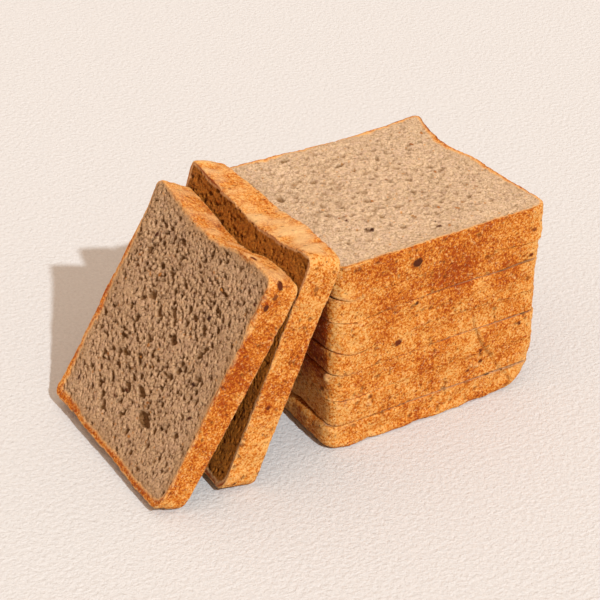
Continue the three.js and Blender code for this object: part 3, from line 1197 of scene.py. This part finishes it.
def bread_material():
    """Crust and crumb in one material, told apart by the mesh's own values."""
    material = bpy.data.materials.new("bread")
    tree = Tree(material)
    crust = tree.attribute("crust")
    # The finest pores, used for their bump and for painted shade in them
    fine_pore_relief_and_shade = tree.spread(tree.noise(0.95, 2, 0.75, 11.0), 0.53, 0.62)
    fine_pore_relief_and_shade = tree.math("MULTIPLY", fine_pore_relief_and_shade, tree.attribute("fine"))
    colour = tree.mix(crust, crumb_colour(tree, fine_pore_relief_and_shade), crust_colour(tree))
    seeds = tree.ramp(
        tree.attribute("seed_tone"),
        [(0.0, rgb(0.05, 0.013, 0.004)), (0.4, rgb(0.14, 0.023, 0.004)), (1.0, rgb(0.52, 0.2, 0.04))],
    )
    colour = tree.mix(tree.attribute("seed"), colour, seeds)
    tree.set(tree.shader.inputs["Base Color"], colour)
    roughness = tree.spread(tree.noise(3, 2, 0.5, 9.0), 0.3, 0.7, 0.62, 0.85)
    tree.set(tree.shader.inputs["Roughness"], roughness)
    tree.shader.inputs["Specular IOR Level"].default_value = 0.12
    grains = tree.math("ADD", tree.noise(0.7, 3, 0.7, 10.0), tree.math("MULTIPLY", tree.cells(1.1), 0.3))
    pitted = tree.math("MULTIPLY", fine_pore_relief_and_shade, tree.spread(crust, 0, 1, 0.9, 0))
    height = tree.math("SUBTRACT", grains, pitted)
    tree.set(tree.shader.inputs["Normal"], tree.bump(height, 0.5))
    return material


def plaster_material():
    """The floor: pale, fine plaster."""
    material = bpy.data.materials.new("plaster")
    tree = Tree(material)
    shade = tree.spread(tree.noise(1.6, 3, 0.7), 0.3, 0.7)
    darker = [FLOOR_DARKEST * value for value in FLOOR_COLOUR]
    colour = tree.ramp(shade, [(0.0, rgb(*darker)), (1.0, rgb(*FLOOR_COLOUR))])
    tree.set(tree.shader.inputs["Base Color"], colour)
    tree.shader.inputs["Roughness"].default_value = 0.95
    tree.shader.inputs["Specular IOR Level"].default_value = 0.1
    tree.set(tree.shader.inputs["Normal"], tree.bump(tree.noise(2.4, 4, 0.65), 1.1))
    return material


# ---- stage, light and camera


# Half the floor's side in metres, and how far it lies below the loaf in millimetres
FLOOR_HALF = 3.0
FLOOR_GAP = 0.05

# Where the sun stands, how strong and how wide it is, and the colour and strength of the sky
SUN_AZIMUTH, SUN_ELEVATION = 1.0, 41.7
SUN_STRENGTH = 3.25
SUN_COLOUR = (0.88, 0.945, 1.0)
SUN_WIDTH = 1.6
SKY_COLOUR = (1.16, 0.89, 0.705)
SKY_HORIZON = 0.35

# Where the camera stands, how it is tilted, the point it looks at and its lens
CAMERA_AZIMUTH, CAMERA_ELEVATION, CAMERA_ROLL = -32.37, 32.0, 0.74
CAMERA_DISTANCE = 996.98
AIM_FROM_CENTRE = (13.6, 16.9, -17.4)
LENS, SENSOR = 130.1, 36.0
FARTHEST_SEEN = 20.0


def add_floor():
    corners = [(x * FLOOR_HALF, y * FLOOR_HALF, 0) for x, y in ((-1, -1), (1, -1), (1, 1), (-1, 1))]
    mesh = bpy.data.meshes.new("floor")
    mesh.from_pydata(corners, [], [(0, 1, 2, 3)])
    mesh.materials.append(plaster_material())
    floor = bpy.data.objects.new("floor", mesh)
    floor.location.z = min(0.0, cad_box[0][2]) - FLOOR_GAP * MM
    bpy.context.scene.collection.objects.link(floor)


def direction(azimuth, elevation):
    """A unit vector: azimuth in degrees from -Y towards +X, elevation in degrees above the floor."""
    turn, rise = math.radians(azimuth), math.radians(elevation)
    return Vector((math.sin(turn) * math.cos(rise), -math.cos(turn) * math.cos(rise), math.sin(rise)))


def add_light():
    light = bpy.data.lights.new("sun", "SUN")
    light.energy = SUN_STRENGTH
    light.color = SUN_COLOUR
    light.angle = math.radians(SUN_WIDTH)
    sun = bpy.data.objects.new("sun", light)
    sun.rotation_euler = direction(SUN_AZIMUTH, SUN_ELEVATION).to_track_quat("Z", "Y").to_euler()
    bpy.context.scene.collection.objects.link(sun)
    bpy.context.scene.world = sky()
    bpy.context.scene.view_settings.view_transform = "Standard"


def sky():
    """A soft sky that gets brighter with height."""
    world = bpy.data.worlds.new("sky")
    world.use_nodes = True
    nodes, links = world.node_tree.nodes, world.node_tree.links
    place = nodes.new("ShaderNodeTexCoord")
    axes = nodes.new("ShaderNodeSeparateXYZ")
    rise = nodes.new("ShaderNodeMapRange")
    rise.inputs["To Min"].default_value = SKY_HORIZON
    links.new(place.outputs["Generated"], axes.inputs[0])
    links.new(axes.outputs["Z"], rise.inputs["Value"])
    background = nodes["Background"]
    background.inputs["Color"].default_value = rgb(*SKY_COLOUR)
    links.new(rise.outputs["Result"], background.inputs["Strength"])
    return world


def add_camera():
    data = bpy.data.cameras.new("camera")
    data.lens = LENS
    data.sensor_width = SENSOR
    data.clip_end = FARTHEST_SEEN
    camera = bpy.data.objects.new("camera", data)
    centre = (Vector(cad_box[0]) + Vector(cad_box[1])) / 2
    aim = centre + Vector(AIM_FROM_CENTRE) * MM
    back = direction(CAMERA_AZIMUTH, CAMERA_ELEVATION)
    look = back.to_track_quat("Z", "Y").to_matrix().to_4x4()
    roll = Matrix.Rotation(math.radians(CAMERA_ROLL), 4, "Z")
    camera.matrix_world = Matrix.Translation(aim + back * CAMERA_DISTANCE * MM) @ look @ roll
    bpy.context.scene.collection.objects.link(camera)
    bpy.context.scene.camera = camera


# ---- the loaf


# The random seed of the first slice; each slice after it has the next number
FIRST_SEED = 100


def add_slice(node, number, material):
    """Makes one slice, with random numbers of its own."""
    step = FINE_STEP if node in LEANING or node == TOP else SIDE_STEP
    m = SliceMesh(node, step, np.random.default_rng(FIRST_SEED + number))
    lower, upper = FACES.get(node, STACKED_FACES)
    m.add_face(*lower, upper=False)
    m.add_face(*upper, upper=True)
    piece = m.build(material)
    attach(piece, "root")
    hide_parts(node)


add_camera()
add_light()
add_floor()
bread = bread_material()
for number, node in enumerate(STACK + LEANING):
    add_slice(node, number, bread)
